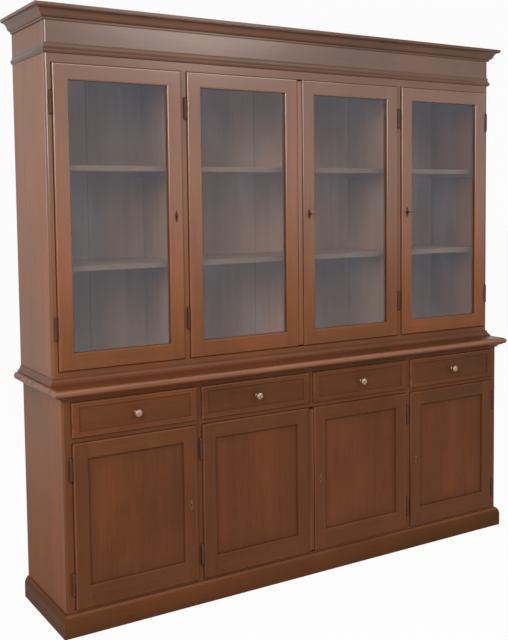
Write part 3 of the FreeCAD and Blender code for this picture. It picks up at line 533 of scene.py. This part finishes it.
knob_brass, brass_tone = start_finish("knob_brass")
brass_place = brass_tone.add("ShaderNodeTexCoord", out=3)
tarnish = brass_place.noise(90, detail=3.0).ease(0.42, 0.72)
turning = brass_place.noise(2600, detail=1.0, stretch=(0.02, 1, 0.02))
turned = {"Height": turning, "Strength": 0.05, "Distance": 0.0003}
brass_skin = {
    "Base Color": (tarnish * 0.7).colour((0.34, 0.215, 0.15, 1), (0.16, 0.09, 0.06, 1)),
    "Metallic": 1.0,
    "Roughness": tarnish * 0.18 + turning * 0.08 + 0.36,
    "Normal": brass_tone.add("ShaderNodeBump", links=turned),
}
brass_shader = brass_tone.add("ShaderNodeBsdfPrincipled", links=brass_skin)
brass_tone.add("ShaderNodeOutputMaterial", links={"Surface": brass_shader})
for number in range(1, 5):
    dress(knob_brass, f"drawer_{number}_knob")


# ---- Hinges, locks, keys and bolts ------------------------------------------------------------------------
# Brass fittings gone dark brown: lift-off hinges, mortise locks with pointed keyhole plates, two keys and the
# slide bolts on the second doors. Where they rub, the brown is worn, most on the lower keyhole plates.

lower_plates = (0.37, 0.425)
dark_bronze, bronze_tone = start_finish("dark_bronze")
bronze_place = bronze_tone.add("ShaderNodeTexCoord", out=3)
paled = bronze_place.noise(260, detail=3.0).ease(0.5, 0.8)
speck = bronze_place.noise(900, detail=2.0)
browned = paled.colour((0.058, 0.024, 0.015, 1), (0.115, 0.056, 0.034, 1))
bronze_height = bronze_tone.add("ShaderNodeSeparateXYZ", links={0: bronze_place}).output("Z")
bronze_colour = inside(bronze_height, *lower_plates).colour(browned, (0.135, 0.072, 0.034, 1))
pitted = {"Height": speck, "Strength": 0.1, "Distance": 0.0004}
bronze_skin = {
    "Base Color": bronze_colour,
    "Metallic": 0.4,
    "Specular IOR Level": 0.2,
    "Roughness": 0.5 - paled * 0.1 + (speck - 0.5) * 0.14,
    "Normal": bronze_tone.add("ShaderNodeBump", links=pitted),
}
bronze_shader = bronze_tone.add("ShaderNodeBsdfPrincipled", links=bronze_skin)
bronze_tone.add("ShaderNodeOutputMaterial", links={"Surface": bronze_shader})
dress(dark_bronze, "case_hinges")
for leaf in range(1, 5):
    dress(dark_bronze, f"upper_door_{leaf}_hardware", f"lower_door_{leaf}_hardware")
for leaf in (3, 4):
    dress(dark_bronze, f"upper_door_{leaf}_key", f"upper_door_{leaf}_lock_bolt")
for row in ("upper", "lower"):
    dress(dark_bronze, f"{row}_door_2_top_bolt", f"{row}_door_2_bottom_bolt")


# ---- Nails, pins and screws -------------------------------------------------------------------------------
# The back boards are nailed to the floors, decks and partitions. Two round pins hold each keyhole plate, and
# four slotted screws each slide bolt's plate. All are of the same dark metal as the fittings.

back_face = 0.238
nail_size = (0.003, 0.001)
nails_in_row = 12
nail_rows = ((0.091, 1.02), (0.700, 1.02), (0.948, 1.03), (2.051, 1.03), (2.189, 1.03))
nail_posts = ((0.5195, 0.20, 0.60, 4), (0.528, 1.08, 1.92, 7))
pin_size = (0.0012, 0.0008)
pin_spread = 0.0165
keyhole_plates = {
    "upper": (-0.1422, 1.5005, {1: -0.570, 3: 0.042, 4: 0.570}),
    "lower": (-0.2122, 0.3975, {1: -0.561, 3: 0.0415, 4: 0.561}),
}
screw_size = (0.0016, 0.0006)
screw_spread = 0.0051
bolt_plates = {
    "upper": (-0.110, -0.042, (2.006, 1.9765, 0.993, 1.0225)),
    "lower": (-0.180, -0.0415, (0.657, 0.6275, 0.136, 0.1655)),
}


def round_head(shape, place, out, size):
    """A low dome that faces out along y."""
    radius, rise = size
    sides = 12
    rings = []
    for wide, high in ((1.0, -0.3), (1.0, 0.3), (0.84, 0.72), (0.5, 0.95)):
        ring = []
        for step in range(sides):
            angle = step * math.tau / sides
            spot = (radius * wide * math.cos(angle), out * rise * high, radius * wide * math.sin(angle))
            ring.append(shape.verts.new(Vector(place) + Vector(spot)))
        rings.append(ring)
    for lower, upper in zip(rings, rings[1:]):
        for step in range(sides):
            after = (step + 1) % sides
            shape.faces.new((lower[step], lower[after], upper[after], upper[step]))
    shape.faces.new(rings[0])
    crown = shape.verts.new(Vector(place) + Vector((0, out * rise, 0)))
    for step in range(sides):
        shape.faces.new((rings[-1][step], rings[-1][(step + 1) % sides], crown))


def slotted_head(shape, place, out, size):
    """A flat disc under two half rounds, which leave the slot between them."""
    radius, rise = size
    disc_sides = 16
    half_sides = 8
    half_slot = math.asin(0.24)
    reach = math.pi - 2 * half_slot
    outlines = [([step * math.tau / disc_sides for step in range(disc_sides)], -0.3, 0.45)]
    for start in (half_slot, math.pi + half_slot):
        outlines.append(([start + reach * step / half_sides for step in range(half_sides + 1)], 0.35, 1.0))
    for angles, low, high in outlines:
        rings = []
        for level in (low, high):
            ring = []
            for angle in angles:
                spot = (radius * math.cos(angle), out * rise * level, radius * math.sin(angle))
                ring.append(shape.verts.new(Vector(place) + Vector(spot)))
            rings.append(ring)
        for step in range(len(angles)):
            after = (step + 1) % len(angles)
            shape.faces.new((rings[0][step], rings[0][after], rings[1][after], rings[1][step]))
        shape.faces.new(rings[0])
        shape.faces.new(rings[1])


def fasteners(name, body, head, places, out, size):
    """One piece made of like heads, one at each place, in the dark metal."""
    shape = bmesh.new()
    for place in places:
        head(shape, place, out, size)
    bmesh.ops.recalc_face_normals(shape, faces=shape.faces)
    mesh = bpy.data.meshes.new(name)
    shape.to_mesh(mesh)
    shape.free()
    mesh.materials.append(dark_bronze)
    piece = bpy.data.objects.new(name, mesh)
    bpy.context.scene.collection.objects.link(piece)
    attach(piece, body)


nails = []
for level, reach in nail_rows:
    for step in range(nails_in_row):
        nails.append((reach * (2 * step / (nails_in_row - 1) - 1), back_face, level))
for post, low, high, count in nail_posts:
    for side in (-1, 1):
        for step in range(count):
            nails.append((side * post, back_face, low + (high - low) * step / (count - 1)))
fasteners("back_nails", "case", round_head, nails, 1, nail_size)

for row, (plate_face, lock_height, lock_places) in keyhole_plates.items():
    for leaf, place in lock_places.items():
        door = f"{row}_door_{leaf}"
        pins = [(place, plate_face, lock_height + way * pin_spread) for way in (-1, 1)]
        fasteners(f"{door}_plate_pins", door, round_head, pins, -1, pin_size)

for row, (plate_back, place, levels) in bolt_plates.items():
    door = f"{row}_door_2"
    screws = [(place + way * screw_spread, plate_back, level) for level in levels for way in (-1, 1)]
    fasteners(f"{door}_bolt_screws", door, slotted_head, screws, 1, screw_size)


# ---- Floor, light and camera ------------------------------------------------------------------------------
# A white studio floor that keeps the shadow and is left out of mirrors, where the white round it looks the
# same; a large soft lamp at the upper left, a weaker one high in front, and a camera at the height of the
# upper doors, left of the dresser.

floor_reach = 30
paper_share = 0.95
room_light = 0.4
room_white = 0.57
lamp_colour = (1.0, 0.98, 0.95)
camera_place = (-2.17889, -3.41133, 1.566)
camera_yaw = 0.5731
camera_pitch = -0.0694
camera_roll = -0.0089
film_width = 36
photo_width, photo_height = 508, 640
focal_length = 948.6866
focal_across, focal_down = 287.5211, 264.2934


def seen(ray):
    """1 for what the camera sees, straight, in a mirror or through glass."""
    return either(either(ray, ray.output("Is Glossy Ray")), ray.output("Is Transmission Ray"))


floor_mesh = bpy.data.meshes.new("floor")
corners = [(floor_reach * way, floor_reach * side, 0) for way, side in ((-1, -1), (1, -1), (1, 1), (-1, 1))]
floor_mesh.from_pydata(corners, [], [(0, 1, 2, 3)])
floor = bpy.data.objects.new("floor", floor_mesh)
floor.visible_glossy = False
bpy.context.scene.collection.objects.link(floor)
paper, paper_tone = start_finish("white_paper")
paper_seen = seen(paper_tone.add("ShaderNodeLightPath")) * paper_share
paper_lit = paper_tone.add("ShaderNodeBsdfDiffuse", links={"Color": (0.8, 0.8, 0.8, 1)})
paper_white = paper_tone.add("ShaderNodeEmission", links={"Color": (1, 1, 1, 1), "Strength": 1.0})
paper_mixed = paper_tone.add("ShaderNodeMixShader", links={0: paper_seen, 1: paper_lit, 2: paper_white})
paper_tone.add("ShaderNodeOutputMaterial", links={"Surface": paper_mixed})
floor_mesh.materials.append(paper)

room = bpy.data.worlds.new("studio")
room.use_nodes = True
room.node_tree.nodes.clear()
air = Tone(room.node_tree)
sky = {"Color": (1, 1, 1, 1), "Strength": seen(air.add("ShaderNodeLightPath")) * room_white + room_light}
air.add("ShaderNodeOutputWorld", links={"Surface": air.add("ShaderNodeBackground", links=sky)})
bpy.context.scene.world = room


def lamp(name, place, aim, width, power):
    light = bpy.data.lights.new(name, "AREA")
    light.shape = "DISK"
    light.size = width
    light.energy = power
    light.color = lamp_colour
    holder = bpy.data.objects.new(name, light)
    holder.location = place
    holder.rotation_euler = (Vector(aim) - Vector(place)).to_track_quat("-Z", "Y").to_euler()
    bpy.context.scene.collection.objects.link(holder)


lamp("window", place=(-4.2, -3.6, 3.6), aim=(0, 0, 1.5), width=4.0, power=300)
lamp("softbox", place=(1.9, -4.4, 4.25), aim=(0.2, 0, 1.6), width=3.0, power=105)

flat = math.cos(camera_pitch)
forward = Vector((math.sin(camera_yaw) * flat, math.cos(camera_yaw) * flat, math.sin(camera_pitch)))
level = Vector((math.cos(camera_yaw), -math.sin(camera_yaw), 0))
upward = level.cross(forward)
right = level * math.cos(camera_roll) + upward * math.sin(camera_roll)
above = upward * math.cos(camera_roll) - level * math.sin(camera_roll)
eye = bpy.data.cameras.new("camera")
eye.sensor_width = film_width
eye.lens = focal_length / photo_height * film_width
eye.shift_x = (photo_width / 2 - focal_across) / photo_height
eye.shift_y = (focal_down - photo_height / 2) / photo_height
tripod = bpy.data.objects.new("camera", eye)
turn = Matrix((right, above, -forward)).transposed().to_4x4()
tripod.matrix_world = Matrix.Translation(camera_place) @ turn
bpy.context.scene.collection.objects.link(tripod)
bpy.context.scene.camera = tripod
bpy.context.scene.view_settings.view_transform = "Standard"

bpy.context.view_layer.update()
